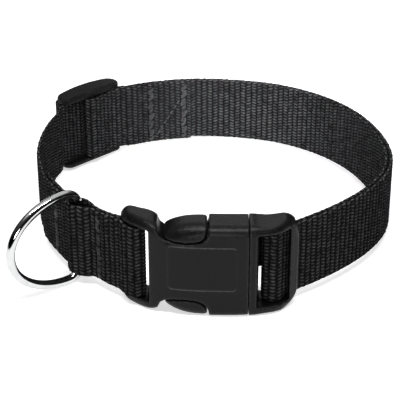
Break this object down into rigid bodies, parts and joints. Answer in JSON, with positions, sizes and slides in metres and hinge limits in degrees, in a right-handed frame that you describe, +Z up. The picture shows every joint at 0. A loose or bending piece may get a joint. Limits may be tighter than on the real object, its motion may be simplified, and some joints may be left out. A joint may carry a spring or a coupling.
{
  "type": "dog collar",
  "caption": "Adjustable dog collar: a webbing loop closed by a curved side release buckle, with a hinged D-ring for the lead and a slider that sets its length.",
  "frame": {"origin": "middle of the collar's box, on the plane that it stands on", "axes": "+Z up, along the wearer's neck; +Y from the buckle at the front to the back of the loop; +X to the right when facing the buckle"},
  "size_m": [0.1326, 0.1404, 0.0351],
  "materials": {
    "webbing": "ribbed black nylon webbing with black stitching",
    "socket": "satin moulded black plastic",
    "clip": "satin moulded black plastic",
    "slider": "satin moulded black plastic",
    "ring": "polished chrome plate on a steel wire"
  },
  "bodies": {
    "collar": {"webbing": "webbing", "buckle_socket": "socket", "buckle_clip": "clip", "slider": "slider"},
    "ring": {"d_ring": "ring"}
  },
  "joints": [
    {"name": "ring_swing", "type": "hinge", "parent": "collar", "child": "ring", "pos_m": [-0.0439, -0.04462, 0.01755], "axis": [0, 0, 1], "range_deg": [-80, 80]}
  ]
}
